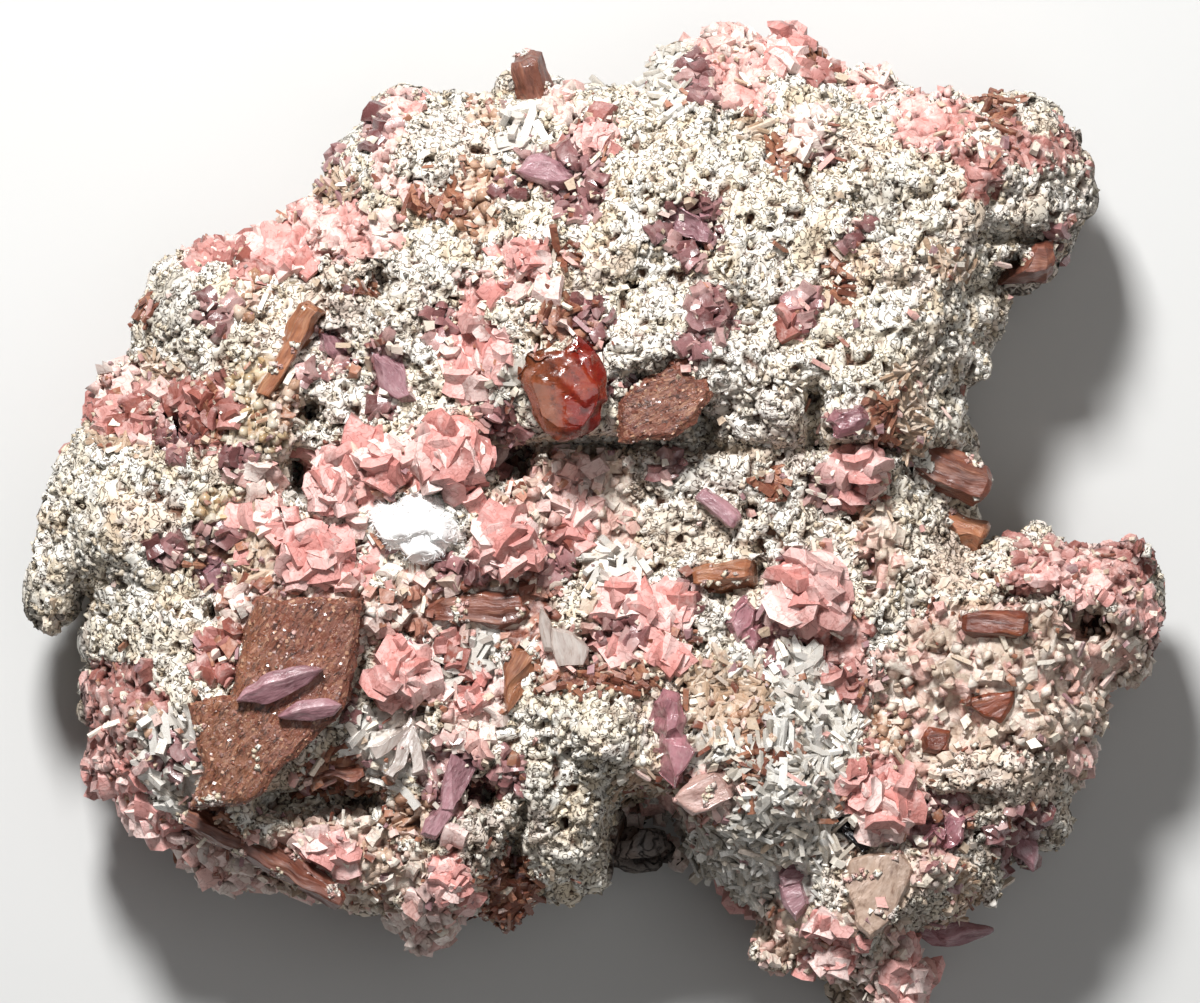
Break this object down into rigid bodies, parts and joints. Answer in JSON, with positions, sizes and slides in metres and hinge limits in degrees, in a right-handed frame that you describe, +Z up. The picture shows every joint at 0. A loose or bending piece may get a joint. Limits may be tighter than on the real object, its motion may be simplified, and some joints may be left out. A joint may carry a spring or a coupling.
{
  "type": "nenadkevichite specimen",
  "caption": "Vuggy rock slab crusted with cream grains, carrying red-brown nenadkevichite prisms, mauve blades and pink rosettes; rests flat on its back.",
  "frame": {"origin": "centre of the bounding box at the level of the flat base", "axes": "+Z up out of the crystal-covered front, +X to the right of the front, +Y to its top"},
  "size_m": [0.0925, 0.08, 0.0317],
  "materials": {
    "cream_crusted_rock": "rough granular crust over rock",
    "glassy_red_crystal": "glassy",
    "red_brown_crystal": "satin, fibrous along its length",
    "orange_brown_crystal": "satin",
    "mauve_crystal": "glossy",
    "pink_crystal": "satin",
    "white_fibres": "matte, fluffy",
    "pale_crystal": "glossy, partly clear",
    "pale_pink_crystal": "glossy, partly clear",
    "tan_crystal": "satin",
    "black_crystal": "glossy"
  },
  "bodies": {
    "root": {"matrix": "cream_crusted_rock", "main_red_crystal": "glassy_red_crystal", "sparkling_brown_block": "red_brown_crystal", "great_brown_plate": "red_brown_crystal", "long_brown_rod": "red_brown_crystal", "upper_left_prism": "orange_brown_crystal", "centre_brown_blade": "red_brown_crystal", "centre_orange_wedge": "orange_brown_crystal", "summit_prism": "red_brown_crystal", "ear_prism": "red_brown_crystal", "right_upper_prism": "red_brown_crystal", "right_lower_prism": "orange_brown_crystal", "arm_dark_prism": "red_brown_crystal", "arm_orange_plate": "orange_brown_crystal", "arm_hexagonal_prism": "red_brown_crystal", "orange_prism": "orange_brown_crystal", "shadowed_brown_shard": "red_brown_crystal", "mauve_blade_on_plate_1": "mauve_crystal", "mauve_blade_on_plate_2": "mauve_crystal", "mauve_prism_middle": "mauve_crystal", "mauve_pair_centre": "mauve_crystal", "mauve_pair_upper": "mauve_crystal", "mauve_stub_dark": "mauve_crystal", "mauve_pair_top": "mauve_crystal", "mauve_spear_left": "mauve_crystal", "mauve_star_left": "mauve_crystal", "mauve_pair_lobe": "mauve_crystal", "mauve_star_lower": "mauve_crystal", "mauve_pair_foot": "mauve_crystal", "rose_glassy_crystal": "mauve_crystal", "mauve_spear_rim": "mauve_crystal", "mauve_lens_at_foot": "mauve_crystal", "rose_glassy_pair": "mauve_crystal", "rose_cluster_foot": "mauve_crystal", "pink_rosette_arm": "pink_crystal", "pink_rosette_centre": "pink_crystal", "pink_rosette_left": "pink_crystal", "pink_rosette_plate": "pink_crystal", "pink_rosette_tuft": "pink_crystal", "pink_rosette_lower": "pink_crystal", "pink_rosette_wedge": "pink_crystal", "pink_rosette_base": "pink_crystal", "pink_rosette_foot": "pink_crystal", "pink_rosette_top": "pink_crystal", "pink_rosette_upper": "pink_crystal", "pink_rosette_toe": "pink_crystal", "white_tuft": "white_fibres", "white_blade_fan": "pale_crystal", "pale_twin_blades": "pale_crystal", "pale_pink_plate": "pale_pink_crystal", "tan_plate": "tan_crystal", "black_needle_bundle": "black_crystal"}
  },
  "joints": []
}
